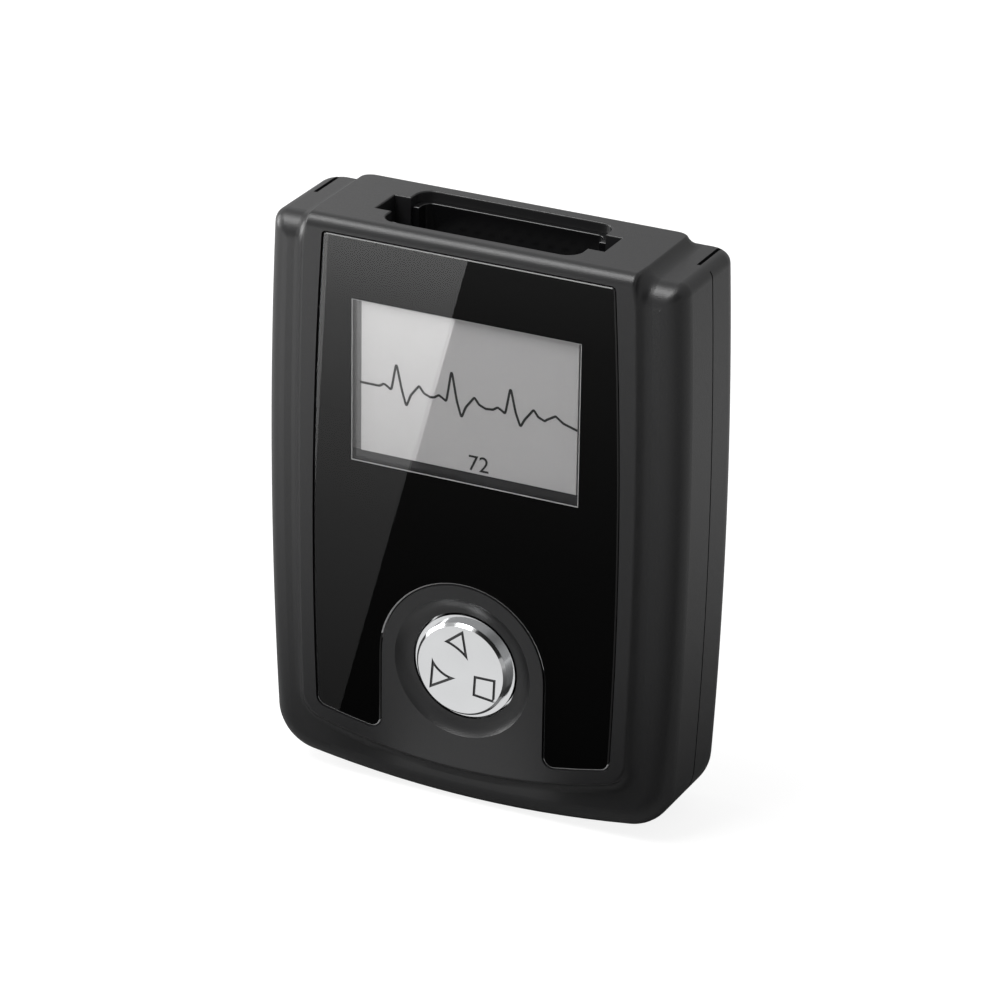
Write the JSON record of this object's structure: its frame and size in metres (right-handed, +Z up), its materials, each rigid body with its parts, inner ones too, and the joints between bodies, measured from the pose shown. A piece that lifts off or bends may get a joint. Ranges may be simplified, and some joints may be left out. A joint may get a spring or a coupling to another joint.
{
  "type": "holter monitor",
  "caption": "Pocket Holter ECG recorder with a front display, a round rocking key, a cable socket in the top and a hinged battery door at the back.",
  "frame": {"origin": "middle of the lower edge that the recorder stands on: centre of its box in X and Y, lowest point in Z", "axes": "+Z up, towards the cable socket; +Y to the back, where the battery door is; +X to the viewer's right, seen from the front"},
  "size_m": [0.0572, 0.018, 0.0761],
  "materials": {
    "front_housing": "fine matt texture",
    "rear_housing": "fine matt texture",
    "housing_gasket": "matt",
    "threaded_inserts": "turned",
    "case_screws": "black zinc",
    "rating_plate": "satin",
    "front_lens": "polished",
    "lens_print": "printed black",
    "lens_adhesive": "tape",
    "display_film": "satin",
    "display_glass": "polished",
    "display_backlight": "translucent white",
    "display_connector": "matt",
    "display_frame": "moulded",
    "key_cap": "satin with a polished edge",
    "key_pivot": "polished",
    "key_socket": "moulded",
    "dome_switches": "sheet",
    "main_board": "solder mask",
    "board_screws": "zinc plated",
    "shield_can": "tinned",
    "ecg_amplifiers": "moulded",
    "processor": "moulded",
    "memory_chips": "moulded",
    "clock_crystal": "drawn can",
    "clock_cell": "nickel plated",
    "clock_cell_clip": "sheet",
    "beeper": "moulded",
    "board_capacitors": "fired",
    "cable_socket": "moulded",
    "socket_contacts": "gold plated",
    "socket_shroud": "moulded",
    "battery_can": "nickel plated",
    "battery_sleeve": "shrunk film",
    "contact_positive": "nickel plated",
    "contact_negative": "nickel plated",
    "battery_door": "fine matt texture",
    "door_seal": "matt",
    "hinge_pin": "ground"
  },
  "bodies": {
    "case": {"front_housing": "front_housing", "rear_housing": "rear_housing", "housing_gasket": "housing_gasket", "threaded_inserts": "threaded_inserts", "case_screws": "case_screws", "rating_plate": "rating_plate", "front_lens": "front_lens", "lens_print": "lens_print", "lens_adhesive": "lens_adhesive", "display_film": "display_film", "display_glass": "display_glass", "display_backlight": "display_backlight", "display_connector": "display_connector", "display_frame": "display_frame", "key_socket": "key_socket", "dome_switches": "dome_switches", "main_board": "main_board", "board_screws": "board_screws", "shield_can": "shield_can", "ecg_amplifiers": "ecg_amplifiers", "processor": "processor", "memory_chips": "memory_chips", "clock_crystal": "clock_crystal", "clock_cell": "clock_cell", "clock_cell_clip": "clock_cell_clip", "beeper": "beeper", "board_capacitors": "board_capacitors", "cable_socket": "cable_socket", "socket_contacts": "socket_contacts", "socket_shroud": "socket_shroud", "battery_can": "battery_can", "battery_sleeve": "battery_sleeve", "contact_positive": "contact_positive", "contact_negative": "contact_negative", "hinge_pin": "hinge_pin"},
    "door": {"battery_door": "battery_door", "door_seal": "door_seal"},
    "key_tilt": {"key_pivot": "key_pivot"},
    "key": {"key_cap": "key_cap"}
  },
  "joints": [
    {"name": "door_hinge", "type": "hinge", "parent": "case", "child": "door", "pos_m": [0, 0.0078, 0.013], "axis": [-1, 0, 0], "range_deg": [0, 95]},
    {"name": "key_up_down", "type": "hinge", "parent": "case", "child": "key_tilt", "pos_m": [0, -0.0063, 0.0195], "axis": [1, 0, 0], "range_deg": [-2.5, 2.5], "stiffness_Nm_per_rad": 0.05},
    {"name": "key_left_right", "type": "hinge", "parent": "key_tilt", "child": "key", "pos_m": [0, -0.0063, 0.0195], "axis": [0, 0, 1], "range_deg": [-2.5, 2.5], "stiffness_Nm_per_rad": 0.05}
  ]
}
